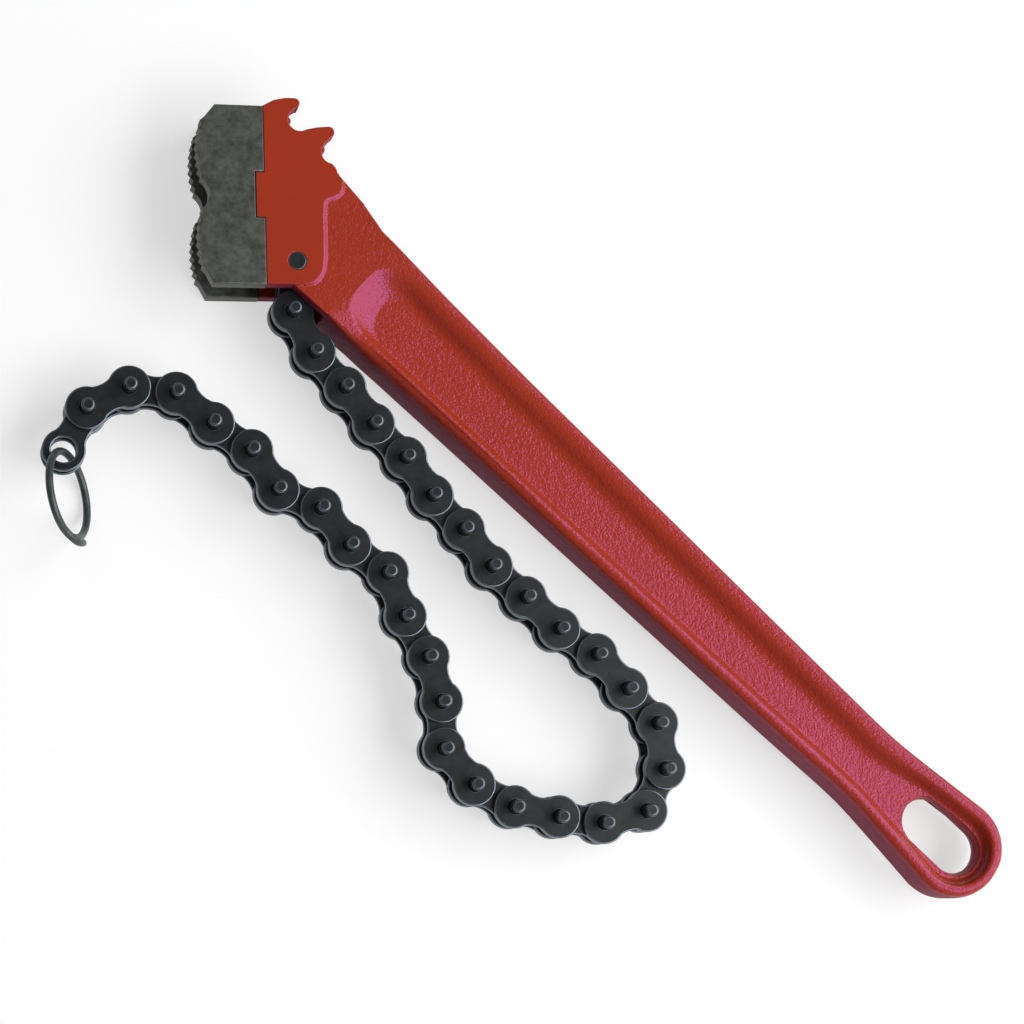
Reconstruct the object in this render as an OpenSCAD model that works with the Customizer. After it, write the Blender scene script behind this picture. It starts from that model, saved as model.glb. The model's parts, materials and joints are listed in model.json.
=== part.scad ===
// Chain pipe wrench: a cast handle with a forked head and two hook horns, a pair of
// toothed jaw plates, and a long-pin chain that ends in a wire ring.
// The wrench lies flat on its side. The origin is on the anchor pin's axis, in the plane
// that the head rests on, +Z points up out of that plane and the jaw faces -X.

/* [Head] */
// Thickness of the head over both cheeks
head_t = 27; // [25:0.5:31]
// Gap between the two cheeks, where the chain runs
fork_gap = 14; // [13.7:0.1:15]
// How far the cast body lies below each machined cheek face
pad_step = 0.8; // [0.3:0.1:1.5]
// Distance from the anchor pin forward to the face that the jaw seats on
seat_x = 10.6; // [9:0.1:12]
// Distance from the anchor pin down to the lower edge of the cheeks
cheek_drop = 8.2; // [7:0.1:9.5]
// Place of the first hook's centre, measured forward from the anchor pin
hook_x = 2.1; // [1:0.1:3]
// Place of the first hook's centre, measured up from the anchor pin
hook_y = 49.7; // [48:0.1:52]
// Direction from the first hook to the second, down from level
hook_angle = 45; // [40:1:50]
// Radius of each hook's round seat
hook_r = 4; // [3.4:0.1:4.4]
// Diameter of the anchor pin
anchor_d = 6.2; // [5:0.1:7]

/* [Jaw plates] */
// Height of a jaw plate
jaw_h = 62.6; // [58:0.2:66]
// Height of the jaw's middle above the anchor pin
jaw_mid = 22.9; // [21:0.1:25]
// Depth of a jaw plate from its seat to the tops of the teeth
jaw_depth = 23.2; // [21:0.1:26]
// Radius of each toothed lobe
lobe_r = 34; // [28:1:45]
// Distance from the jaw's middle to the middle of each lobe
lobe_offset = 15.4; // [14:0.1:17]
// Radius of the hollow between the lobes
valley_r = 6.7; // [5:0.1:8]
// Depth of that hollow behind the tops of the teeth
valley_depth = 4.4; // [3:0.1:5]
// Spacing of the teeth
tooth_pitch = 2.9; // [2:0.1:4]
// Depth of the teeth
tooth_depth = 0.9; // [0.5:0.1:1.3]
// Number of teeth on each lobe
teeth = 8; // [6:1:8]
// Size of the cut across each front corner
jaw_corner = 4.2; // [2:0.1:6]
// Height of the locating tab on each cheek
tab_h = 15.8; // [10:0.2:20]
// How far the tab stands into the jaw plate
tab_reach = 3; // [2:0.1:4]
// Clearance round the tab
tab_clear = 0.15; // [0.05:0.05:0.3]
// Height of the tongue between the two jaw plates
tongue_h = 28; // [25:0.5:32]
// Reach of the tongue forward of the seat
tongue_reach = 14.5; // [13:0.5:17]
// Diameter of the jaw dowels
dowel_d = 5; // [4:0.1:6]
// Spacing of the two jaw dowels
dowel_spacing = 18; // [12:0.5:19]
// Depth that a dowel stands into each jaw plate
dowel_bite = 4; // [2:0.1:5]

/* [Handle] */
// Angle of the handle below level
handle_angle = 44; // [40:1:48]
// Distance of the handle's centre line from the anchor pin
handle_offset = 11.6; // [10:0.1:13]
// Distance along the handle from the anchor pin to the middle of the end eye
eye_s = 308; // [280:1:360]
// Outer radius of the end eye
eye_r = 18; // [17:0.1:20]
// Width of the handle where it leaves the head
root_w = 36; // [34:0.5:38]
// Width of the handle at its neck, before the eye
neck_w = 27.8; // [25:0.2:30]
// Distance from the eye's middle back to the neck
neck_back = 55; // [45:1:75]
// Thickness of the handle over its flanges
flange_t = 18; // [16:0.5:21]
// Thickness of the web between the two recesses
web_t = 8; // [6:0.5:10]
// Width of the flange beside the recess
rim_w = 5.6; // [4.5:0.1:6.5]
// Distance along the handle from the anchor pin to the start of the recess
recess_s = 27; // [22:1:40]
// Length of the hanging slot, end to end
slot_l = 31; // [26:0.5:33]
// Width of the hanging slot
slot_w = 16; // [12:0.5:17]
// Distance from the eye's middle back to the middle of the hanging slot
slot_back = 6; // [3:0.5:9]

/* [Chain] */
// Pitch of the chain, pin to pin
pitch = 15.875; // [15.5:0.125:16.5]
// Height of a link plate at its pins
plate_h = 14.6; // [13.5:0.1:15]
// Height of a link plate at its waist
waist_h = 10; // [9:0.1:11]
// Radius of the hollow at the waist
waist_r = 9.3; // [8.6:0.1:10.5]
// Thickness of a link plate
plate_t = 1.8; // [1.6:0.05:1.9]
// Free space between an inner and an outer plate
plate_clear = 0.15; // [0.1:0.05:0.2]
// Length of a bush between the inner plates
bush_l = 5.6; // [5:0.1:5.9]
// Outer diameter of a bush
bush_d = 7.2; // [6.6:0.1:7.8]
// Outer diameter of the bush on the anchor pin
anchor_bush_d = 8.6; // [8.2:0.1:9]
// Diameter of a chain pin
pin_d = 4.6; // [4:0.1:5]
// Length of a chain pin
pin_l = 26; // [22:0.5:26.5]
// Chamfer on each end of a pin
pin_chamfer = 0.5; // [0.2:0.1:0.8]
// Radial running clearance of a bush on its pin
run_clear = 0.06; // [0.03:0.01:0.1]
// Radial clearance of parts that are pressed together
seat_clear = 0.02; // [0.01:0.01:0.03]

/* [End ring] */
// Diameter of the ring's wire
wire_d = 2.6; // [2:0.1:2.8]
// Mean diameter of the ring
ring_d = 29.5; // [26:0.5:34]
// Diameter of the hole that the ring hangs in
ring_hole_d = 8.6; // [8.4:0.1:9]
// Lean of the ring from upright
ring_lean = 27; // [15:1:28]
// Height of the ring's lowest point above the table
ring_clear = 0.2; // [0:0.1:1]

/* [Hidden] */
$fn = 64;
eps = 0.5;
red_paint = [0.62, 0.2, 0.14];
steel = [0.36, 0.38, 0.36];
black_oxide = [0.17, 0.18, 0.19];

cheek_t = (head_t - fork_gap) / 2;
mid_z = head_t / 2;
cast_t = head_t - 2 * pad_step;

// Headings of the links as the chain lies, in whole degrees, from the anchor pin outwards
lay = [-93, -63, -50, -53, -47, -56, -48, -54, -43, -44, -35,
       -49, -50, -83, -117, -167, -189, -194, -210, -231, -269, -255,
       -242, -249, -217, -233, -204, -237, -216, -220, -187, -153, -119];
link_count = len(lay);
ring_heading = -82;

// Place of chain pin k, where pin 0 is the anchor pin
function pin_at(k) = k == 0 ? [0, 0] : pin_at(k - 1) + pitch * [cos(lay[k - 1]), sin(lay[k - 1])];
function two_digits(k) = k < 10 ? str("0", k) : str(k);
function inner_name(k) = str("inner_link_", two_digits(k));
function plates_name(k) = str("outer_plates_", two_digits(k));
function pins_name(k) = str("link_pins_", two_digits(k));

// Hooks: the second is one pitch from the first, so two pins seat at once
hook_1 = [hook_x, hook_y];
hook_2 = hook_1 + pitch * [cos(hook_angle), -sin(hook_angle)];
horn_1 = hook_1 + [-1.7, 5.8];
horn_2 = hook_2 + [-1.3, 7.1];
horn_1_r = 1.8;
horn_2_r = 2;

jaw_top = jaw_mid + jaw_h / 2;
jaw_bottom = jaw_mid - jaw_h / 2;
jaw_front = -seat_x - jaw_depth;

// Across-handle half widths, and the side taper from the head to the flanges
root_half = root_w / 2;
neck_half = neck_w / 2;
taper_start_s = 21;
taper_end_s = 40;
recess_root_r = root_half - rim_w - 0.5;
recess_eye_r = eye_r - rim_w;
slot_s = eye_s - slot_back;
slot_reach = (slot_l - slot_w) / 2;

// Ring centre: the wire crosses the middle of the end link's hole
ring_r = ring_d / 2;
ring_z = (ring_r + wire_d / 2) * cos(ring_lean) + ring_clear;
ring_drop = (ring_z - mid_z) / cos(ring_lean);
ring_reach = sqrt(ring_r * ring_r - ring_drop * ring_drop);
ring_shift = ring_drop * sin(ring_lean);

// A slab between two heights
module slab(low, high) {
    translate([0, 0, low]) linear_extrude(high - low) children();
}

// Along-handle frame: x runs down the handle's centre line from the anchor pin
module handle_frame() {
    rotate(-handle_angle) translate([0, handle_offset]) children();
}

// Machined cheek face: horns at the top, tab at the front, round corner at the lower back
module cheek_outline() {
    difference() {
        union() {
            polygon([
                [-seat_x, -cheek_drop], [-seat_x, horn_1.y - 1.2],
                [horn_1.x - 7.2, horn_1.y + 0.9], [horn_1.x - 3, horn_1.y + 1.8],
                [horn_1.x, horn_1.y + horn_1_r], [horn_1.x + 1, horn_1.y - 1.5],
                [hook_1.x - 3, hook_1.y + 2.6], hook_1, [hook_1.x - 0.5, hook_1.y - hook_r + 0.2],
                [hook_1.x + 2.4, hook_1.y - hook_r + 0.7], [horn_2.x - 4, horn_2.y + 1.6],
                [horn_2.x, horn_2.y + horn_2_r], [horn_2.x + 1, horn_2.y - 1.7],
                [hook_2.x - 3, hook_2.y + 2.6], hook_2, [hook_2.x - 1.6, hook_2.y - hook_r + 0.4],
                [hook_2.x - 0.5, hook_2.y - 3.8], [hook_2.x + 1, hook_2.y - 5.8],
                [15, 30], [16.4, 27], [15, 23.8], [10.5, 22.5], [9, 20.5],
                [9, 1], [8, -4], [5.5, -7], [1.5, -cheek_drop]]);
            translate(horn_1) circle(horn_1_r);
            translate(horn_2) circle(horn_2_r);
        }
        translate(hook_1) circle(hook_r);
        translate(hook_2) circle(hook_r);
    }
    translate([-seat_x - tab_reach, jaw_mid - tab_h / 2]) square([tab_reach + eps, tab_h]);
}

// Plan of the cast body: the head's back, the tapered bar and the end eye
module body_outline() {
    handle_frame() {
        polygon([
            [-11, root_half + 3.2], [20, root_half], [eye_s - neck_back, neck_half],
            [eye_s, eye_r - 0.5], [eye_s, 0.5 - eye_r], [eye_s - neck_back, -neck_half],
            [22, -root_half], [3, -root_half - 0.4], [-8, -8]]);
        translate([eye_s, 0]) circle(eye_r);
    }
}

// Side view of the cast body: full at the head, then thinner over the flanges
module body_taper() {
    end_s = eye_s + eye_r + eps;
    handle_frame() translate([0, 2 * root_w]) rotate([90, 0, 0]) linear_extrude(4 * root_w)
        polygon([
            [-40, mid_z - cast_t / 2], [taper_start_s, mid_z - cast_t / 2],
            [taper_end_s, mid_z - flange_t / 2], [end_s, mid_z - flange_t / 2],
            [end_s, mid_z + flange_t / 2], [taper_end_s, mid_z + flange_t / 2],
            [taper_start_s, mid_z + cast_t / 2], [-40, mid_z + cast_t / 2]]);
}

// Recess between the flanges, round at both ends
module recess_outline() {
    root_s = recess_s + recess_root_r;
    handle_frame() {
        polygon([
            [root_s, recess_root_r - 0.4], [eye_s - neck_back, neck_half - rim_w],
            [eye_s, recess_eye_r - 0.4], [eye_s, 0.4 - recess_eye_r],
            [eye_s - neck_back, rim_w - neck_half], [root_s, 0.4 - recess_root_r]]);
        translate([root_s, 0]) circle(recess_root_r);
        translate([eye_s, 0]) circle(recess_eye_r);
    }
}

// Hanging slot through the end eye
module hanging_slot() {
    handle_frame() {
        translate([slot_s - slot_reach, -slot_w / 2]) square([2 * slot_reach, slot_w]);
        for (side = [-1, 1]) translate([slot_s + side * slot_reach, 0]) circle(slot_w / 2);
    }
}

// Space between the cheeks for the hooked end of the chain
module hook_slot_outline() {
    floor_y = hook_2.y - plate_h;
    polygon([
        [-seat_x - tab_reach - eps, hook_1.y - plate_h + 2], [hook_1.x - 4, hook_1.y - plate_h + 2],
        [hook_2.x - 2, floor_y], [60, floor_y], [60, hook_1.y + 30],
        [-seat_x - tab_reach - eps, hook_1.y + 30]]);
}

// Space between the cheeks for the anchored end of the chain
module anchor_slot_outline() {
    slot_r = plate_h / 2 + 2;
    circle(slot_r);
    polygon([
        [-seat_x - tab_reach - eps, slot_r - 0.6], [2, slot_r - 0.6], [slot_r - 0.3, 0],
        [slot_r + 1, -14], [slot_r + 1, -40], [-seat_x - tab_reach - eps, -40]]);
}

module tongue_outline() {
    translate([-seat_x - tongue_reach, jaw_mid - tongue_h / 2]) square([tongue_reach + eps, tongue_h]);
}

module dowel_places() {
    for (side = [-1, 1])
        translate([-seat_x - tongue_reach / 2 - tab_reach / 2, jaw_mid + side * dowel_spacing / 2, mid_z])
            children();
}

module handle() {
    color(red_paint) difference() {
        union() {
            intersection() {
                slab(0, head_t) body_outline();
                body_taper();
            }
            slab(0, head_t) cheek_outline();
            slab(cheek_t, head_t - cheek_t) tongue_outline();
        }
        slab(cheek_t, head_t - cheek_t) {
            hook_slot_outline();
            anchor_slot_outline();
        }
        slab(mid_z + web_t / 2, head_t + eps) recess_outline();
        slab(-eps, mid_z - web_t / 2) recess_outline();
        slab(-eps, head_t + eps) hanging_slot();
        translate([0, 0, -eps]) cylinder(d = anchor_d + 2 * seat_clear, h = head_t + 2 * eps);
        dowel_places() cylinder(d = dowel_d + 2 * seat_clear, h = head_t, center = true);
    }
}

// One lobe's teeth: points along an arc, from its low end to its high end
function lobe_points(lobe_y) = [
    for (i = [0 : 2 * teeth])
        let (turn = (i - teeth) * tooth_pitch / 2 / lobe_r * 180 / PI,
             r = lobe_r - (i % 2 == 0 ? tooth_depth : 0))
        [jaw_front + lobe_r - r * cos(turn), lobe_y + r * sin(turn)]];

module jaw_outline() {
    difference() {
        polygon(concat(
            [[-seat_x, jaw_bottom], [jaw_front + 1 + jaw_corner, jaw_bottom]],
            lobe_points(jaw_mid - lobe_offset), lobe_points(jaw_mid + lobe_offset),
            [[jaw_front + 2.5 + jaw_corner, jaw_top], [-seat_x, jaw_top]]));
        translate([jaw_front + valley_depth - valley_r, jaw_mid]) circle(valley_r);
        translate([-seat_x - tab_reach - tab_clear, jaw_mid - tab_h / 2 - tab_clear])
            square([tab_reach + tab_clear + eps, tab_h + 2 * tab_clear]);
    }
}

module jaw_plate(low, high) {
    color(steel) difference() {
        slab(low, high) jaw_outline();
        dowel_places()
            cylinder(d = dowel_d + 2 * seat_clear, h = fork_gap + 2 * dowel_bite + 0.2, center = true);
    }
}

module jaw_plate_near() {
    jaw_plate(head_t - cheek_t, head_t);
}

module jaw_plate_far() {
    jaw_plate(0, cheek_t);
}

module jaw_dowels() {
    color(steel) dowel_places() cylinder(d = dowel_d, h = fork_gap + 2 * dowel_bite, center = true);
}

module anchor_pin() {
    color(black_oxide) cylinder(d = anchor_d, h = head_t);
}

// Link frame: x runs from the link's first pin to its last, z from the chain's middle
module at_link(k) {
    translate([pin_at(k - 1).x, pin_at(k - 1).y, mid_z]) rotate(lay[k - 1]) children();
}

// Waisted link plate with a hole at each end
module plate_outline(first_hole_d, last_hole_d) {
    difference() {
        union() {
            for (x = [0, pitch]) translate([x, 0]) circle(d = plate_h);
            difference() {
                translate([0, -0.45 * plate_h]) square([pitch, 0.9 * plate_h]);
                for (side = [-1, 1])
                    translate([pitch / 2, side * (waist_h / 2 + waist_r)]) circle(waist_r);
            }
        }
        circle(d = first_hole_d);
        translate([pitch, 0]) circle(d = last_hole_d);
    }
}

// A pair of like plates, one each side of the chain's middle
module plate_pair(inside, first_hole_d, last_hole_d) {
    for (low = [inside, -inside - plate_t])
        slab(low, low + plate_t) plate_outline(first_hole_d, last_hole_d);
}

module bush(outer_d, inner_d) {
    difference() {
        cylinder(d = outer_d, h = bush_l + 2 * plate_t, center = true);
        cylinder(d = inner_d + 2 * run_clear, h = bush_l + 2 * plate_t + 2 * eps, center = true);
    }
}

module inner_link(k) {
    first_d = k == 1 ? anchor_bush_d : bush_d;
    first_hole_d = first_d + 2 * seat_clear;
    last_hole_d = k == link_count ? ring_hole_d : bush_d + 2 * seat_clear;
    color(black_oxide) at_link(k) {
        plate_pair(bush_l / 2, first_hole_d, last_hole_d);
        bush(first_d, k == 1 ? anchor_d : pin_d);
        if (k < link_count) translate([pitch, 0, 0]) bush(bush_d, pin_d);
    }
}

module outer_plates(k) {
    hole_d = pin_d + 2 * seat_clear;
    color(black_oxide) at_link(k) plate_pair(bush_l / 2 + plate_t + plate_clear, hole_d, hole_d);
}

module link_pin() {
    half = pin_l / 2;
    r = pin_d / 2;
    rotate_extrude() polygon([
        [0, -half], [r - pin_chamfer, -half], [r, pin_chamfer - half],
        [r, half - pin_chamfer], [r - pin_chamfer, half], [0, half]]);
}

module link_pins(k) {
    color(black_oxide) at_link(k) for (x = [0, pitch]) translate([x, 0, 0]) link_pin();
}

module end_ring() {
    hole = pin_at(link_count);
    color(black_oxide) translate([hole.x, hole.y, ring_z]) rotate(ring_heading)
        translate([ring_reach, -ring_shift, 0]) rotate([90 + ring_lean, 0, 0])
            rotate_extrude() translate([ring_r, 0]) circle(d = wire_d);
}

handle();
jaw_plate_near();
jaw_plate_far();
jaw_dowels();
anchor_pin();
end_ring();
for (k = [1:2:link_count])
    inner_link(k);
for (k = [2:2:link_count])
    outer_plates(k);
for (k = [2:2:link_count])
    link_pins(k);
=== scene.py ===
import json
import math

import bmesh
import bpy
from mathutils import Euler, Matrix, Vector


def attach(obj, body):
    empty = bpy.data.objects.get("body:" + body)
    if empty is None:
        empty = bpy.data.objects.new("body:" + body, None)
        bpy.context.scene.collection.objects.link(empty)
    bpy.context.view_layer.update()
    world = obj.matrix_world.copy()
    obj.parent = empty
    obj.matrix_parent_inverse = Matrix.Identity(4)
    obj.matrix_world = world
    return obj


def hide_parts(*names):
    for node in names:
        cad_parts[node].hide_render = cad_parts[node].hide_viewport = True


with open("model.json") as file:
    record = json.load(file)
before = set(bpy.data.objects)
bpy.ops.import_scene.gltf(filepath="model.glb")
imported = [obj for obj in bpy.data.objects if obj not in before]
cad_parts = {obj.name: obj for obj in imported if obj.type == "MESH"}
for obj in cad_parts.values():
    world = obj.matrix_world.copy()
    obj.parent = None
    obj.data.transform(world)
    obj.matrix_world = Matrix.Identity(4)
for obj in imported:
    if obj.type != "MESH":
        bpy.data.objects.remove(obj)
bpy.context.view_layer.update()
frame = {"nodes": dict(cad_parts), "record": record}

# Sizes are in millimetres, and MM turns them to Blender's metres
MM = 0.001

# Head: its thickness, and how far its machined cheeks stand above the rest of the casting
HEAD_T = 27.0
PAD_STEP = 0.8
MID_Z = HEAD_T / 2
CAST_TOP = HEAD_T - PAD_STEP

# The handle's own directions: s runs along it from the anchor pin, and v across it. The upper side, as the
# photograph shows it, has v above 0
HANDLE_ANGLE = math.radians(-44)
HANDLE_OFFSET = 11.6

# Bar in plan: it narrows from its root to the neck and flares again to the eye, whose arc it leaves at the
# tangent
ROOT_S = 20.0
ROOT_HALF = 18.0
NECK_S = 267.0
NECK_HALF = 13.9
NECK_BLEND = 0.7
EYE_S = 308.0
EYE_R = 18.0
TANGENT_ANGLE = math.radians(94.3)
TANGENT_S = EYE_S + EYE_R * math.cos(TANGENT_ANGLE)
TANGENT_HALF = EYE_R * math.sin(TANGENT_ANGLE)
SLOT_S = 302.0
SLOT_R = 8.0
SLOT_STRAIGHT = 7.5
# The upper side lies a little closer in, and the lower side further out, up to where the eye begins
UPPER_TRIM = 0.8
LOWER_SWELL = 0.7
SWELL_END = (220.0, 285.0)

# Heights along the bar: from the head's flat face the lower flange ramps down at once and the upper one
# slowly, both then taper, and the web follows them
LOWER_TOPS = [(21.0, CAST_TOP), (33.0, 23.9), (190.0, 22.5), (285.0, 21.8)]
UPPER_TOPS = [(21.0, CAST_TOP), (90.0, 23.4), (190.0, 22.5), (285.0, 21.8)]
WEB_TOPS = [(31.0, 21.6), (60.0, 20.6), (180.0, 18.7), (290.0, 17.5)]
RAMP_S = LOWER_TOPS[0][0]
# Across the bar, the lower flange's height passes to the upper one's between these two places
FLANGE_BLEND = (2.0, 9.0)

# The head meets the bar on a slanted cut that no edge of the casting crosses. The bar laps into the head
# and lies a hair lower there
CUT_LOW = (20.0, -18.0)
CUT_HIGH = (3.0, 19.76)
CUT_LAP = 0.8
CUT_SINK = 0.03
# The upper side is hollowed a little where the bar leaves the head: stations and half widths
HOLLOW = [(14.0, 17.2), (RAMP_S, 17.1)]
# Inset of the line where the head's flat face turns down into the ramp
CREASE_INSET = 3.1

# Outer rounding of the flange: inset from the outline, drop below the flange's top, and the dryness of the
# spray there, which also paints the colour darker and more violet as painted shade and reflection
OUTER_ROUND = [(0.0, 6.5, 1.0), (0.05, 4.8, 1.0), (0.2, 3.2, 0.9), (0.5, 1.9, 0.5), (0.9, 1.1, 0.15),
               (1.4, 0.6, 0.0), (2.0, 0.26, 0.0), (2.5, 0.06, 0.0), (2.8, 0.0, 0.0)]
# The upper side's edge is rounded by less: its share of the inset and of the drop
UPPER_INSET = 0.6
UPPER_DROP = 0.45
# The face that lies down is rounded by this share
UNDER_ROUND = 0.45
# Share of the rounding by the head, beside the bowl and further on, and the stations between which it
# changes
SOFT_HEAD = 0.12
SOFT_BOWL = 1.4
SOFT_BAR = 1.0
SOFT_RISE = (12.0, 50.0)
SOFT_FALL = (60.0, 150.0)

# Inner slope of the flange: share of the way in on the upper side and on the lower one, and share of the
# way down to the web
INNER_SLOPE = [(0.0, 0.0, 0.0), (0.12, 0.22, 0.03), (0.25, 0.33, 0.11), (0.4, 0.46, 0.3), (0.5, 0.56, 0.5),
               (0.6, 0.66, 0.7), (0.75, 0.79, 0.89), (0.88, 0.9, 0.97), (1.0, 1.0, 1.0)]
# Insets at which the slope starts and ends: it is wide on the upper side and steep on the lower one, and
# between two stations it passes to the eye, where it runs down to the slot
SLOPE_TOP = 3.4
SLOPE_FOOT_UPPER = 12.4
SLOPE_FOOT_LOWER = 7.5
SLOPE_FOOT_EYE = 7.7
SLOPE_FOOT_END = 6.7
EYE_REACH = (262.0, 292.0)

# The recess ends by the head in a shallow bowl, whose slope runs between these two stations and joins the
# sides at a third
BOWL_S = (21.2, 31.5)
BOWL_MID_S = 40.0
# Roundness of the bowl in plan, at its rim and at its foot: 2 is an ellipse, more is squarer
BOWL_POWER = (3.0, 2.2)

# The slot's rim: how far it is outside the slot, how far below the web, and the dryness of the spray there,
# which also paints the colour darker as painted shade
SLOT_RIM = [(1.2, 0.0, 0.0), (0.95, 0.2, 0.0), (0.75, 0.6, 0.6), (0.0, 3.5, 0.6)]

# Steps along each side, round the eye, and along each stretch of the bar's end inside the head
SIDE_STEPS = 60
EYE_STEPS = 36
HEAD_STEPS = (8, 1, 24, 6, 1, 8)
HEAD_POINTS = sum(HEAD_STEPS) - 1
# The web is built in rows across the bar, up to the step where the ring round the slot takes over
WEB_ACROSS = 8
SLOT_RING_STEP = 54

# The cheek's step down to the casting is cast as a slope: its line from the horn round to the lower edge,
# and its section as distance out from that line and depth below the cheek
STEP_LINE = [(16.0, 28.6), (16.4, 27.0), (15.0, 23.8), (10.5, 22.5), (9.0, 20.5), (9.0, 1.0), (8.0, -4.0),
             (5.5, -7.0), (2.2, -8.0)]
STEP_SECTION = [(-0.6, -0.004), (0.1, -0.002), (0.35, 0.06), (0.6, 0.2), (1.2, 0.55), (1.5, 0.72),
                (1.8, 0.81), (0.6, 1.5), (-0.6, 1.5)]
# How often the line's corners are cut off, the share of its width that the section has at the line's two
# ends, and how far from them it is full
STEP_CUTS = 3
STEP_END_W = 0.4
STEP_END_REACH = 4.0
# An edge of the solid this close to the line is hidden by the step
STEP_COVER = 0.1

# Grain of the casting, as a share of the web's. The machined cheeks have none, down to this depth
WEB_GRAIN = 1.0
SLOPE_GRAIN = 0.7
FLANGE_GRAIN = 0.8
MACHINED_DEPTH = 0.3
# On the head, what faces up or down by less than this is an outer side, at the edge of the spray, and its
# colour is painted darker and more violet there as painted shade and reflection
SIDE_FACING = 0.35

# Rounding of the edges, and how far they are rubbed paler: partly wear, and partly a painted highlight
HEAD_EDGE = 0.4
JAW_EDGE = 0.45
JAW_RUB_AND_HIGHLIGHT = 0.25
PIN_EDGE = 0.4
PIN_RUB_AND_HIGHLIGHT = 0.6
PLATE_EDGE = 0.5
PLATE_RUB_AND_HIGHLIGHT = 1.0
WIRE_EDGE = 0.3
EDGE_SEGMENTS = 3
# A jaw edge that is no longer than the first belongs to a tooth, and one that rises by the second runs
# through the plate. Both stay sharp
TOOTH_FLANK = 2.2
THROUGH_RISE = 1.0

# Angles in degrees: faces that turn by less than the first are one flat face. An edge that turns by more
# than one of the others is a corner, is shaded sharp, or is at the wire's cut end
FLAT_TURN = 0.6
CORNER_TURN = 30
SHARP_TURN = 38
WIRE_END_TURN = 60
# Points nearer than the first are one point in a copy of a CAD node, and nearer than the second in a new
# shape. The last two tell what lies on the head's cut, while it is made and after
COPY_GAP = 0.002
SHAPE_GAP = 0.001
CUT_SNAP = 0.0001
CUT_GAP = 0.01

# End ring: it leans on the last link and just clears the floor. One end of its wire is lapped over the
# other: the lap and its rise are in degrees round the ring, and it goes out and aside by shares of the wire
WIRE_D = 2.6
RING_D = 29.5
RING_LEAN = math.radians(27)
RING_HEADING = math.radians(-82)
RING_LIFT = 0.2
RING_LAP = 14.0
RING_LAP_RISE = (330.0, 362.0)
LAP_OUT = 0.75
LAP_ASIDE = 0.66
RING_STEPS = 95
WIRE_SIDES = 18

# Enamel: the sand's real grain is about 0.3 mm, too fine to show, so its peel and lumps are drawn coarser
PEEL_SIZE = 0.75
LUMP_SIZE = 1.7
GRAIN_RELIEF = 0.21
PAINT_CLOUD = 22.0
GLOSS_ROUGHNESS = 0.22
DRY_ROUGHNESS = 0.65
# Where the spray is drier than this, the paint's colour is painted darker and more violet: painted shade
# and painted reflection
PAINTED_SHADE_FROM = 0.5

# Steel: the real grit is about 0.1 mm, too fine to show, so it is drawn coarser
GRIT_SIZE = 0.6
GRIT_RELIEF = 0.05
GRIT_STRENGTH = 0.25
SPECK_RANGE = (0.35, 0.68)
RUBBED_METALLIC = 0.9

# Floor: half its width, and how far it glows to the eye
FLOOR_HALF = 4000.0
FLOOR_GLOW = 0.58

# The room is dim overhead and to the left, and paler towards the walls on the right
PALE_WAY = (0.6, -0.5, -0.62)
PALE_RANGE = (-0.9, 0.78)
ROOM_LIGHT = (0.06, 0.5)

# The lens, place and turn that put the pins and the handle's edges where the photograph has them
CAMERA_LENS = 88.84
CAMERA_SENSOR = 36
CAMERA_PLACE = (-132.018, -209.852, 856.976)
CAMERA_TURN = (8.7288, -13.4617, -2.2321)


def srgb(code):
    """A #RRGGBB colour as linear RGBA."""
    parts = [int(code[i:i + 2], 16) / 255 for i in (1, 3, 5)]
    return [c / 12.92 if c <= 0.04045 else ((c + 0.055) / 1.055) ** 2.4 for c in parts] + [1.0]


def add(tree, kind, inputs=None, **settings):
    """Adds a node with its settings, and links or sets its inputs."""
    made = tree.nodes.new(kind)
    for name, value in settings.items():
        setattr(made, name, value)
    for name, value in (inputs or {}).items():
        if isinstance(value, bpy.types.NodeSocket):
            tree.links.new(value, made.inputs[name])
        else:
            made.inputs[name].default_value = value
    return made


def per_mm(size):
    """Texture scale at which a pattern repeats about once in that many millimetres."""
    return 1 / (size * MM)


def finish_of(name, roughness, metallic=0.0):
    """A new material with its tree, shader and Object coordinates."""
    made = bpy.data.materials.new(name)
    made.use_nodes = True
    tree = made.node_tree
    shader = tree.nodes["Principled BSDF"]
    shader.inputs["Roughness"].default_value = roughness
    shader.inputs["Metallic"].default_value = metallic
    return made, tree, shader, add(tree, "ShaderNodeTexCoord").outputs["Object"]


def along(s, v, z):
    """A point of the handle in the part's frame, in metres."""
    across = v + HANDLE_OFFSET
    x = s * math.cos(HANDLE_ANGLE) - across * math.sin(HANDLE_ANGLE)
    y = s * math.sin(HANDLE_ANGLE) + across * math.cos(HANDLE_ANGLE)
    return Vector((x, y, z)) * MM


def ease(value, low, high):
    """0 below low, 1 above high, and smooth between."""
    t = min(max((value - low) / (high - low), 0.0), 1.0)
    return t * t * (3 - 2 * t)


# Materials

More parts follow.
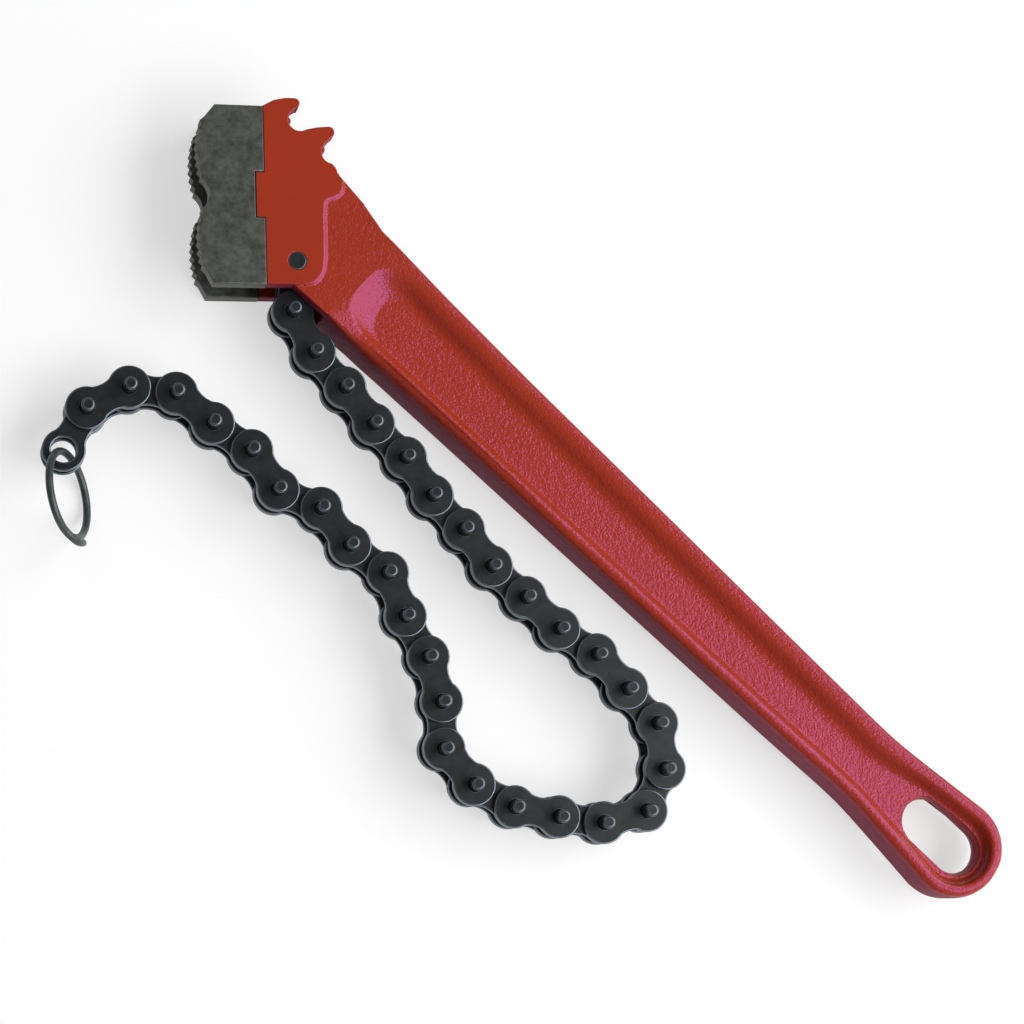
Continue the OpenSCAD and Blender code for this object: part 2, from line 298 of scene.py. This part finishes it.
def red_enamel():
    """Gloss enamel, sprayed on sand-cast steel. The sand's grain shows through the paint as soft orange
    peel, while the machined cheeks are smooth, and the gloss is violet. The outer sides and the slot's
    wall got only the edge of the spray, so they are dull, and there the colour is painted darker and more
    violet as painted shade and painted reflection."""
    made, tree, shader, where = finish_of("red_enamel", GLOSS_ROUGHNESS)
    shader.inputs["Specular Tint"].default_value = srgb("#D090FF")
    cloud = add(tree, "ShaderNodeTexNoise", {"Vector": where, "Scale": per_mm(PAINT_CLOUD), "Detail": 3.0})
    paint = add(tree, "ShaderNodeMix", {
        "Factor": cloud.outputs["Fac"], "A": srgb("#993417"), "B": srgb("#A6381B")}, data_type="RGBA")
    # The drier the spray, the more the colour passes to a darker violet: painted shade and painted
    # reflection
    dry_and_painted_shade = add(tree, "ShaderNodeAttribute", attribute_name="dry_spray_and_painted_shade").outputs["Fac"]
    painted_shade_share = add(tree, "ShaderNodeMapRange", {"Value": dry_and_painted_shade, "From Min": PAINTED_SHADE_FROM})
    paint_with_painted_shade = add(tree, "ShaderNodeMix", {
        "Factor": painted_shade_share.outputs["Result"], "A": paint.outputs["Result"], "B": srgb("#902D39")},
        data_type="RGBA")
    tree.links.new(paint_with_painted_shade.outputs["Result"], shader.inputs["Base Color"])
    dull = add(tree, "ShaderNodeMapRange", {
        "Value": dry_and_painted_shade, "To Min": GLOSS_ROUGHNESS, "To Max": DRY_ROUGHNESS})
    tree.links.new(dull.outputs["Result"], shader.inputs["Roughness"])
    peel = add(tree, "ShaderNodeTexNoise", {"Vector": where, "Scale": per_mm(PEEL_SIZE), "Detail": 1.0})
    lumps = add(tree, "ShaderNodeTexNoise", {"Vector": where, "Scale": per_mm(LUMP_SIZE), "Detail": 1.0})
    height = add(tree, "ShaderNodeMath", {
        0: peel.outputs["Fac"], 1: lumps.outputs["Fac"]}, operation="ADD")
    grain = add(tree, "ShaderNodeAttribute", attribute_name="cast_grain").outputs["Fac"]
    bump = add(tree, "ShaderNodeBump", {
        "Strength": grain, "Distance": GRAIN_RELIEF * MM, "Height": height.outputs["Value"]})
    tree.links.new(bump.outputs["Normal"], shader.inputs["Normal"])
    return made


def steel_finish(name, dark, light, edge, roughness, metallic, speck):
    """Blackened or dull steel: specks and clouds of two greys, with edges rubbed paler, to bare metal. The
    paler edge colour is partly wear and partly a painted highlight.
    """
    made, tree, shader, where = finish_of(name, roughness, metallic)
    cloud = add(tree, "ShaderNodeTexNoise", {
        "Vector": where, "Scale": per_mm(speck), "Detail": 6.0, "Roughness": 0.65})
    spread = add(tree, "ShaderNodeMapRange", {
        "Value": cloud.outputs["Fac"], "From Min": SPECK_RANGE[0], "From Max": SPECK_RANGE[1]})
    body = add(tree, "ShaderNodeMix", {
        "Factor": spread.outputs["Result"], "A": srgb(dark), "B": srgb(light)}, data_type="RGBA")
    # Edges pass to a paler grey and to bare metal: partly rubbed wear, partly a painted highlight
    rub_and_highlight = add(tree, "ShaderNodeAttribute", attribute_name="edge_rub_and_painted_highlight").outputs["Fac"]
    worn_and_highlighted = add(tree, "ShaderNodeMix", {
        "Factor": rub_and_highlight, "A": body.outputs["Result"], "B": srgb(edge)}, data_type="RGBA")
    tree.links.new(worn_and_highlighted.outputs["Result"], shader.inputs["Base Color"])
    bare = add(tree, "ShaderNodeMapRange", {"Value": rub_and_highlight, "To Min": metallic, "To Max": RUBBED_METALLIC})
    tree.links.new(bare.outputs["Result"], shader.inputs["Metallic"])
    grit = add(tree, "ShaderNodeTexNoise", {"Vector": where, "Scale": per_mm(GRIT_SIZE), "Detail": 2.0})
    bump = add(tree, "ShaderNodeBump", {
        "Strength": GRIT_STRENGTH, "Distance": GRIT_RELIEF * MM, "Height": grit.outputs["Fac"]})
    tree.links.new(bump.outputs["Normal"], shader.inputs["Normal"])
    return made


RED_ENAMEL = red_enamel()
# Tool steel, forged and hardened, with its scale left on: dull and mottled, and a little paler along the
# edges, partly from wear and partly as a painted highlight
JAW_STEEL = steel_finish("forged_jaw_steel", dark="#383A34", light="#5C5F59", edge="#6F7876",
                         roughness=0.5, metallic=0.4, speck=3.6)
# Black oxide on stamped and turned steel, oiled: near black with a soft shine, and grey on the edges,
# partly from rubbing and partly as a painted highlight
BLACK_OXIDE = steel_finish("oiled_black_oxide", dark="#15181A", light="#25292D", edge="#69737D",
                           roughness=0.3, metallic=0.0, speck=4.0)
# Plain steel wire, drawn and bent cold, then gone dull: dark grey with a faint shine along the bend
RING_WIRE = steel_finish("dull_drawn_wire", dark="#343B3D", light="#4C5453", edge="#5C6664",
                         roughness=0.38, metallic=0.3, speck=3.0)


# Pieces

def merged_copy(node):
    """A bmesh of a CAD node, with its loose triangles joined and flat faces made whole."""
    bm = bmesh.new()
    bm.from_mesh(frame["nodes"][node].data)
    bmesh.ops.remove_doubles(bm, verts=bm.verts, dist=COPY_GAP * MM)
    bmesh.ops.dissolve_limit(bm, angle_limit=math.radians(FLAT_TURN), verts=bm.verts, edges=bm.edges)
    return bm


def corners_of(bm, turn=CORNER_TURN):
    """The edges that turn by more than that angle."""
    return [e for e in bm.edges if len(e.link_faces) == 2 and e.calc_face_angle() > math.radians(turn)]


def break_edges(bm, edges, width, rub_and_highlight=1.0):
    """Rounds edges over and marks how far the new faces are rubbed, which also paints a highlight on them.
    """
    mark = bm.faces.layers.float.get("edge_rub_and_painted_highlight") or bm.faces.layers.float.new("edge_rub_and_painted_highlight")
    out = bmesh.ops.bevel(bm, geom=edges, offset=width * MM, offset_type="OFFSET", affect="EDGES",
                          segments=EDGE_SEGMENTS, profile=0.5, material=-1, clamp_overlap=False)
    for face in out["faces"]:
        face[mark] = rub_and_highlight


def piece(name, bm, material, body, node):
    """Makes a bmesh an object that rides on a body and stands for a CAD node."""
    mesh = bpy.data.meshes.new(name)
    bm.to_mesh(mesh)
    bm.free()
    if "custom_normal" in mesh.attributes:
        mesh.attributes.remove(mesh.attributes["custom_normal"])
    mesh.materials.clear()
    mesh.materials.append(material)
    mesh.shade_smooth()
    mesh.set_sharp_from_angle(angle=math.radians(SHARP_TURN))
    made = bpy.data.objects.new(name, mesh)
    bpy.context.scene.collection.objects.link(made)
    made.modifiers.new("even_shading", "WEIGHTED_NORMAL").keep_sharp = True
    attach(made, body)
    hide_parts(node)


def closed_loop(bm, points):
    """A closed loop of edges through points in metres."""
    verts = [bm.verts.new(p) for p in points]
    return [bm.edges.new((a, b)) for a, b in zip(verts, verts[1:] + verts[:1])]


# Handle

def half_width(s):
    """Half the bar's width: it narrows to the neck and flares again to the eye."""
    taper = ROOT_HALF - (s - ROOT_S) * (ROOT_HALF - NECK_HALF) / (NECK_S - ROOT_S)
    flare = NECK_HALF + (s - NECK_S) * (TANGENT_HALF - NECK_HALF) / (TANGENT_S - NECK_S)
    return (taper + flare + math.hypot(taper - flare, NECK_BLEND)) / 2


def height_at(table, s):
    """Height at a station, from a table of stations and heights."""
    for (s0, z0), (s1, z1) in zip(table, table[1:]):
        if s < s1:
            return z0 + (z1 - z0) * max(s - s0, 0) / (s1 - s0)
    return table[-1][1]


def flange_top(s, v):
    """Height of the flange at a point, which passes from the lower flange's to the upper one's."""
    low, high = height_at(LOWER_TOPS, s), height_at(UPPER_TOPS, s)
    return low + (high - low) * ease(v, *FLANGE_BLEND)


def softness(s):
    """How far the flange's outer edge is rounded: hardly by the head, most by the bowl, less further on."""
    rise = (SOFT_BOWL - SOFT_HEAD) * ease(s, *SOFT_RISE)
    fall = (SOFT_BOWL - SOFT_BAR) * ease(s, *SOFT_FALL)
    return SOFT_HEAD + rise - fall


def stepped(corners, steps):
    """Points along straight stretches, a given number of steps each, without the two ends."""
    points = [[p + (q - p) * i / n for p, q in zip(a, b)]
              for a, b, n in zip(corners, corners[1:], steps) for i in range(n)]
    return points[1:]


def bar_outline(inset, head_end):
    """A closed outline round the bar. inset gives the inset at a station and a side, from 1 on the upper
    side to -1 on the lower one. head_end gives the points between the two sides' first points."""
    stations = [BOWL_MID_S + (TANGENT_S - BOWL_MID_S) * i / SIDE_STEPS for i in range(SIDE_STEPS + 1)]
    upper = [(s, half_width(s) - UPPER_TRIM - inset(s, 1)) for s in stations]
    lower = [(s, inset(s, -1) - half_width(s) - LOWER_SWELL * (1 - ease(s, *SWELL_END)))
             for s in reversed(stations)]
    arc = []
    for i in range(1, EYE_STEPS):
        side = 1 - 2 * i / EYE_STEPS
        r = EYE_R - UPPER_TRIM * (1 + side) / 2 - inset(EYE_S, side)
        arc.append((EYE_S + r * math.cos(TANGENT_ANGLE * side), r * math.sin(TANGENT_ANGLE * side)))
    return upper + arc + lower + head_end(lower[-1], upper[0])


def cut_end(inset):
    """The bar's end inside the head: along the lower side, over the slanted cut and back."""
    def path(low, high):
        step = inset(RAMP_S, 0)
        edge = half_width(RAMP_S) - step
        cut = [(CUT_LOW[0] - CUT_LAP, CUT_LOW[1] + step), (CUT_HIGH[0] - CUT_LAP, CUT_HIGH[1] - step)]
        hollow = [(s, half - step) for s, half in HOLLOW]
        return stepped([low, (RAMP_S, -edge), *cut, *hollow, high], HEAD_STEPS)
    return path


def crease_end(low, high):
    """The line where the head's flat face turns down into the ramp."""
    edge = half_width(RAMP_S) - CREASE_INSET
    side = HEAD_STEPS[0]
    steps = (side, sum(HEAD_STEPS) - 2 * side, side)
    return stepped([low, (RAMP_S, -edge), (RAMP_S, HOLLOW[1][1] - CREASE_INSET), high], steps)


def bowl_end(tip_s, power):
    """A rounded end of the recess, out to a station by the head."""
    def path(low, high):
        points = []
        for i in range(1, HEAD_POINTS + 1):
            a = math.pi * i / (HEAD_POINTS + 1)
            side = low[1] if a < math.pi / 2 else high[1]
            out = math.sin(a) ** (2 / power)
            points.append((low[0] - (low[0] - tip_s) * out, side * abs(math.cos(a)) ** (2 / power)))
        return points
    return path


def round_inset(inset, roundness):
    """The inset of a loop on the flange's outer rounding."""
    def eased(s, side):
        share = 1 + (UPPER_INSET - 1) * (1 + side) / 2
        return inset * share * softness(s) * roundness
    return eased


def slope_inset(upper, lower):
    """The inset of a loop on the flange's inner slope, those shares of the way in."""
    def inset(s, side):
        share = lower + (upper - lower) * (1 + side) / 2
        foot = SLOPE_FOOT_UPPER if side > 0 else SLOPE_FOOT_LOWER
        eye_foot = SLOPE_FOOT_END + (SLOPE_FOOT_EYE - SLOPE_FOOT_END) * abs(side)
        foot += (eye_foot - foot) * ease(s, *EYE_REACH)
        return SLOPE_TOP + (foot - SLOPE_TOP) * share
    return inset


def slot_point(s, v, grow):
    """Where a line from the slot's centre towards (s, v) leaves the slot, grown by a margin."""
    way = math.atan2(v, s - SLOT_S)
    c, t = abs(math.cos(way)), abs(math.sin(way))
    r = SLOT_R + grow
    out = r / max(t, 1e-9)
    if out * c > SLOT_STRAIGHT:
        out = SLOT_STRAIGHT * c + math.sqrt(r * r - (SLOT_STRAIGHT * t) ** 2)
    return SLOT_S + out * math.cos(way), out * math.sin(way)


def flange_loops(roundness):
    """The loops of half the bar, from its middle over the flange down to the web's edge, each with its
    grain and its dryness, which also sets the painted shade, and the outline of the web."""
    upright = round_inset(0.0, roundness)
    middle = [along(s, v, MID_Z) for s, v in bar_outline(upright, cut_end(upright))]
    loops = [(middle, FLANGE_GRAIN, OUTER_ROUND[0][2])]
    for inset, drop, dry_and_painted_shade in OUTER_ROUND:
        eased = round_inset(inset, roundness)
        points = []
        for s, v in bar_outline(eased, cut_end(eased)):
            sink = CUT_SINK if s < CUT_LOW[0] else 0
            sink += drop * softness(s) * roundness * (1 + (UPPER_DROP - 1) * ease(v, *FLANGE_BLEND))
            points.append(along(s, v, flange_top(s, v) - sink))
        loops.append((points, FLANGE_GRAIN, dry_and_painted_shade))
    crease = bar_outline(lambda s, side: CREASE_INSET, crease_end)
    loops.append(([along(s, v, flange_top(s, v)) for s, v in crease], FLANGE_GRAIN, 0.0))
    for upper, lower, down in INNER_SLOPE:
        tip_s = BOWL_S[0] + (BOWL_S[1] - BOWL_S[0]) * down
        power = BOWL_POWER[0] + (BOWL_POWER[1] - BOWL_POWER[0]) * down
        outline = bar_outline(slope_inset(upper, lower), bowl_end(tip_s, power))
        points = []
        for s, v in outline:
            top, web = flange_top(s, v), height_at(WEB_TOPS, s)
            points.append(along(s, v, top + (web - top) * down))
        loops.append((points, SLOPE_GRAIN + (WEB_GRAIN - SLOPE_GRAIN) * down, 0.0))
    return loops, outline


def web_rows(outline):
    """Rows of points across the web, from the bowl's tip to the slot's ring."""
    head = outline[-HEAD_POINTS:]
    last_lower = len(outline) - HEAD_POINTS - 1
    tip = HEAD_POINTS // 2
    pairs = [(head[tip - i], head[tip + i]) for i in range(tip + 1)]
    pairs += [(outline[last_lower - i], outline[i]) for i in range(SLOT_RING_STEP + 1)]
    rows = []
    for low, high in pairs:
        steps = [low[1] + (high[1] - low[1]) * i / WEB_ACROSS for i in range(WEB_ACROSS + 1)]
        rows.append([(low[0], v) for v in steps])
    return rows


def slot_loops(outline, row):
    """The loops from the web over the slot's rim and straight down its wall to the bar's middle, each with
    its grain and its dryness, which also sets the painted shade."""
    last_lower = len(outline) - HEAD_POINTS - 1
    around = row + outline[SLOT_RING_STEP + 1:last_lower - SLOT_RING_STEP]
    loops = [([along(s, v, height_at(WEB_TOPS, s)) for s, v in around], WEB_GRAIN, 0.0)]
    for grow, drop, dry_and_painted_shade in SLOT_RIM:
        rim = [slot_point(s, v, grow) for s, v in around]
        loops.append(([along(s, v, height_at(WEB_TOPS, s) - drop) for s, v in rim], WEB_GRAIN, dry_and_painted_shade))
    loops.append(([along(s, v, MID_Z) for s, v in rim], WEB_GRAIN, dry_and_painted_shade))
    return loops


def cast_loop(bm, points, rough, dull):
    """A closed loop of edges whose points have that grain and that dryness, which also sets the painted
    shade.
    """
    grain = bm.verts.layers.float["cast_grain"]
    dry_and_painted_shade = bm.verts.layers.float["dry_spray_and_painted_shade"]
    edges = closed_loop(bm, points)
    for vert in {v for e in edges for v in e.verts}:
        vert[grain] = rough
        vert[dry_and_painted_shade] = dull
    return edges


def bridge_rings(bm, rings):
    """Bridges closed loops, each half by itself, so that none can turn against the next."""
    half = len(rings[0]) // 2
    for near, far in zip(rings, rings[1:]):
        bmesh.ops.bridge_loops(bm, edges=near[:half] + far[:half])
        bmesh.ops.bridge_loops(bm, edges=near[half:] + far[half:])


def turned_over(bm):
    """The same form on the underside."""
    turned = Matrix.Translation((0, 0, HEAD_T * MM)) @ Matrix.Scale(-1, 4, (0, 0, 1))
    bmesh.ops.transform(bm, matrix=turned, verts=bm.verts)
    return bm


def joined(*parts):
    """One bmesh of several."""
    whole = bmesh.new()
    for part in parts:
        scratch = bpy.data.meshes.new("casting")
        part.to_mesh(scratch)
        part.free()
        whole.from_mesh(scratch)
        bpy.data.meshes.remove(scratch)
    return whole


def closed_up(bm):
    """Merges doubles and turns the faces outwards."""
    bmesh.ops.remove_doubles(bm, verts=bm.verts, dist=SHAPE_GAP * MM)
    bmesh.ops.recalc_face_normals(bm, faces=bm.faces)
    return bm


def half_bar(roundness):
    """Half the bar: a rounded flange, a recessed web and the end eye with its slot."""
    bm = bmesh.new()
    grain = bm.verts.layers.float.new("cast_grain")
    bm.verts.layers.float.new("dry_spray_and_painted_shade")
    loops, outline = flange_loops(roundness)
    bridge_rings(bm, [cast_loop(bm, *loop) for loop in loops])
    rows = web_rows(outline)
    chains = []
    for row in rows:
        verts = [bm.verts.new(along(s, v, height_at(WEB_TOPS, s))) for s, v in row]
        chains.append([bm.edges.new(pair) for pair in zip(verts, verts[1:])])
        for vert in verts:
            vert[grain] = WEB_GRAIN
    for near, far in zip(chains, chains[1:]):
        bmesh.ops.bridge_loops(bm, edges=near + far)
    bridge_rings(bm, [cast_loop(bm, *loop) for loop in slot_loops(outline, rows[-1])])
    return bm


def cheek_step():
    """The sloped step round the back of a cheek, swept along its rounded line."""
    line = [Vector(p) for p in STEP_LINE]
    for _ in range(STEP_CUTS):
        cuts = [a.lerp(b, share) for a, b in zip(line, line[1:]) for share in (0.25, 0.75)]
        line = [line[0], *cuts, line[-1]]
    bm = bmesh.new()
    grain = bm.verts.layers.float.new("cast_grain")
    bm.verts.layers.float.new("dry_spray_and_painted_shade")
    rings = []
    for i, spot in enumerate(line):
        way = (line[min(i + 1, len(line) - 1)] - line[max(i - 1, 0)]).normalized()
        out = Vector((-way.y, way.x))
        near_end = min((spot - line[0]).length, (spot - line[-1]).length) / STEP_END_REACH
        width = min(1.0, STEP_END_W + (1 - STEP_END_W) * near_end)
        section = []
        for reach, depth in STEP_SECTION:
            place = spot + out * reach * width
            section.append(Vector((place.x, place.y, HEAD_T - depth)) * MM)
        rings.append(closed_loop(bm, section))
    for near, far in zip(rings, rings[1:]):
        bmesh.ops.bridge_loops(bm, edges=near + far)
    bmesh.ops.holes_fill(bm, edges=rings[0] + rings[-1])
    for v in bm.verts:
        v[grain] = SLOPE_GRAIN if v.co.z < (HEAD_T - MACHINED_DEPTH) * MM else 0.0
    return bm


def handle_head():
    """The head casting, cut off from the CAD handle where the bar begins, with its corners rounded."""
    bm = merged_copy("handle")
    low, high = along(*CUT_LOW, 0), along(*CUT_HIGH, 0)
    way = (high - low).normalized()
    out = Vector((way.y, -way.x, 0))
    everything = bm.verts[:] + bm.edges[:] + bm.faces[:]
    cut = bmesh.ops.bisect_plane(
        bm, geom=everything, dist=CUT_SNAP * MM, plane_co=low, plane_no=out, clear_outer=True)
    rim = [e for e in cut["geom_cut"] if isinstance(e, bmesh.types.BMEdge) and e.is_boundary]
    bmesh.ops.holes_fill(bm, edges=rim)

    def depth(vert):
        """How far a point lies below the nearer cheek's face."""
        return min(vert.co.z, HEAD_T * MM - vert.co.z)

    def on_cut(edge):
        """Whether an edge lies on the cut."""
        return all(abs((v.co - low).dot(out)) < CUT_GAP * MM for v in edge.verts)

    def under_step(edge):
        """Whether the swept step hides an edge."""
        near, far = edge.verts
        middle = (near.co + far.co).xy / 2 / MM
        stretches = [(Vector(a), Vector(b)) for a, b in zip(STEP_LINE, STEP_LINE[1:])]
        covered = any((middle - (a + b) / 2).length < STEP_COVER + (b - a).length / 2 for a, b in stretches)
        return covered and depth(near) + depth(far) < 2 * PAD_STEP * MM

    corners = [e for e in corners_of(bm) if not on_cut(e) and not under_step(e)]
    break_edges(bm, corners, HEAD_EDGE)
    bm.normal_update()
    grain = bm.verts.layers.float.new("cast_grain")
    dry_and_painted_shade = bm.verts.layers.float.new("dry_spray_and_painted_shade")
    for v in bm.verts:
        v[grain] = 0.0 if depth(v) < MACHINED_DEPTH * MM else FLANGE_GRAIN
        # Outer sides get the edge of the spray, which also paints their colour darker as shade
        v[dry_and_painted_shade] = 1.0 if abs(v.normal.z) < SIDE_FACING else 0.0
    return bm


def handle_casting():
    """The whole casting: the bar, the head and the steps of its two cheeks."""
    bar = closed_up(joined(half_bar(1.0), turned_over(half_bar(UNDER_ROUND))))
    steps = closed_up(joined(cheek_step(), turned_over(cheek_step())))
    casting = joined(bar, handle_head(), steps)
    piece("handle_casting", casting, RED_ENAMEL, "wrench", "handle")


# Jaw, anchor and chain

def jaw_piece(node, body):
    """A jaw plate or dowel: rounded long edges, and teeth that stay sharp."""
    bm = merged_copy(node)
    long_edges = [e for e in corners_of(bm) if e.calc_length() > TOOTH_FLANK * MM
                  and abs(e.verts[0].co.z - e.verts[1].co.z) < THROUGH_RISE * MM]
    break_edges(bm, long_edges, JAW_EDGE, JAW_RUB_AND_HIGHLIGHT)
    piece(node + "_forged", bm, JAW_STEEL, body, node)


def chain_piece(node, body, width, rub_and_highlight):
    """A chain node with its stamped or turned edges rolled over."""
    bm = merged_copy(node)
    break_edges(bm, corners_of(bm), width, rub_and_highlight)
    piece(node + "_rolled", bm, BLACK_OXIDE, body, node)


def jaw_and_chain():
    """Every jaw plate, dowel, pin, plate and link, on the body that carries it."""
    for body, nodes in frame["record"]["behaviour"]["bodies"].items():
        for node in nodes:
            if node.startswith("jaw"):
                jaw_piece(node, body)
            elif node.startswith("link_pins") or node == "anchor_pin":
                chain_piece(node, body, PIN_EDGE, PIN_RUB_AND_HIGHLIGHT)
            elif node.startswith(("inner_link", "outer_plates")):
                chain_piece(node, body, PLATE_EDGE, PLATE_RUB_AND_HIGHLIGHT)


# End ring

def end_ring():
    """A ring of bent wire through the last link's hole, with one end lapped over the other."""
    hinge = next(j for j in frame["record"]["behaviour"]["joints"] if j["name"] == "ring_swing")
    hole = Vector(hinge["pos_m"])
    forward = Vector((math.cos(RING_HEADING), math.sin(RING_HEADING), 0))
    sideways = Vector((forward.y, -forward.x, 0))
    upward = sideways * math.sin(RING_LEAN) + Vector((0, 0, math.cos(RING_LEAN)))
    facing = forward.cross(upward)
    radius = RING_D / 2 * MM
    centre_z = (RING_D + WIRE_D) / 2 * math.cos(RING_LEAN) * MM + RING_LIFT * MM
    rise = (centre_z - hole.z) / math.cos(RING_LEAN)
    centre = hole + forward * math.sqrt(radius ** 2 - rise ** 2) + upward * rise
    bm = bmesh.new()
    loops = []
    for i in range(RING_STEPS + 1):
        turned = (360 + RING_LAP) * i / RING_STEPS
        a = math.radians(RING_LAP / 2 - turned)
        outward = forward * math.cos(a) + upward * math.sin(a)
        lap = ease(turned, *RING_LAP_RISE) * WIRE_D * MM
        spot = centre + outward * (radius + LAP_OUT * lap) - facing * LAP_ASIDE * lap
        section = []
        for k in range(WIRE_SIDES):
            t = 2 * math.pi * k / WIRE_SIDES
            section.append(spot + (outward * math.cos(t) + facing * math.sin(t)) * WIRE_D / 2 * MM)
        loops.append(closed_loop(bm, section))
    for near, far in zip(loops, loops[1:]):
        bmesh.ops.bridge_loops(bm, edges=near + far)
    bmesh.ops.holes_fill(bm, edges=loops[0] + loops[-1])
    bmesh.ops.recalc_face_normals(bm, faces=bm.faces)
    # The cut ends' rounded edges get the paler edge colour: partly wear, partly a painted highlight
    break_edges(bm, corners_of(bm, WIRE_END_TURN), WIRE_EDGE)
    piece("end_ring_wire", bm, RING_WIRE, "ring", "end_ring")


# Floor, light and camera

def paper_floor():
    """White backdrop paper, matte and without a sheen. It glows a little to the eye and to reflections, so
    that it looks white and still shows the shadow."""
    paper, tree, shader, _ = finish_of("white_paper", roughness=0.9)
    shader.inputs["Base Color"].default_value = srgb("#AFAFAF")
    shader.inputs["Emission Color"].default_value = srgb("#FFFFFF")
    ray = add(tree, "ShaderNodeLightPath")
    direct = add(tree, "ShaderNodeMath", {
        0: ray.outputs["Is Camera Ray"], 1: ray.outputs["Is Glossy Ray"]}, operation="MAXIMUM")
    seen = add(tree, "ShaderNodeMath", {
        0: direct.outputs["Value"], 1: ray.outputs["Is Transmission Ray"]}, operation="MAXIMUM")
    glow = add(tree, "ShaderNodeMath", {0: seen.outputs["Value"], 1: FLOOR_GLOW}, operation="MULTIPLY")
    tree.links.new(glow.outputs["Value"], shader.inputs["Emission Strength"])
    bm = bmesh.new()
    bmesh.ops.create_grid(bm, x_segments=1, y_segments=1, size=FLOOR_HALF * MM)
    mesh = bpy.data.meshes.new("floor")
    bm.to_mesh(mesh)
    bm.free()
    mesh.materials.append(paper)
    made = bpy.data.objects.new("floor", mesh)
    bpy.context.scene.collection.objects.link(made)


def softbox(name, place, aim, size, power):
    """A square white softbox that faces a point."""
    data = bpy.data.lights.new(name, "AREA")
    data.shape = "SQUARE"
    data.size = size * MM
    data.energy = power
    made = bpy.data.objects.new(name, data)
    made.location = Vector(place) * MM
    made.rotation_euler = (Vector(aim) - Vector(place)).to_track_quat("-Z", "Y").to_euler()
    bpy.context.scene.collection.objects.link(made)


def room_light():
    """The soft light that the room itself gives."""
    world = bpy.data.worlds.new("studio")
    world.use_nodes = True
    room = world.node_tree
    way = add(room, "ShaderNodeTexCoord").outputs["Generated"]
    pale = add(room, "ShaderNodeVectorMath", {0: way, 1: PALE_WAY}, operation="DOT_PRODUCT")
    level = add(room, "ShaderNodeMapRange", {
        "Value": pale.outputs["Value"], "From Min": PALE_RANGE[0], "From Max": PALE_RANGE[1],
        "To Min": ROOM_LIGHT[0], "To Max": ROOM_LIGHT[1]})
    room.links.new(level.outputs["Result"], room.nodes["Background"].inputs["Strength"])
    room.nodes["Background"].inputs["Color"].default_value = srgb("#FFFFFF")
    bpy.context.scene.world = world


def photo_camera():
    """The camera, at the photograph's angle."""
    lens = bpy.data.cameras.new("camera")
    lens.sensor_width = CAMERA_SENSOR
    lens.lens = CAMERA_LENS
    made = bpy.data.objects.new("camera", lens)
    turn = Euler([math.radians(a) for a in CAMERA_TURN])
    made.matrix_world = Matrix.LocRotScale(Vector(CAMERA_PLACE) * MM, turn, None)
    bpy.context.scene.collection.objects.link(made)
    bpy.context.scene.camera = made
    bpy.context.scene.view_settings.view_transform = "Standard"


handle_casting()
jaw_and_chain()
end_ring()
paper_floor()
# The first three light the faces and show in their violet gloss, and the last lifts the shadows
softbox("right_softbox", place=(1520, -210, 1250), aim=(100, -100, 0), size=1650, power=32.5)
softbox("front_softbox", place=(620, -720, 1000), aim=(50, -50, 0), size=620, power=5)
softbox("back_softbox", place=(1030, 480, 1030), aim=(100, -100, 0), size=500, power=3.5)
softbox("left_softbox", place=(-550, 350, 1000), aim=(0, 0, 0), size=800, power=1.5)
room_light()
photo_camera()
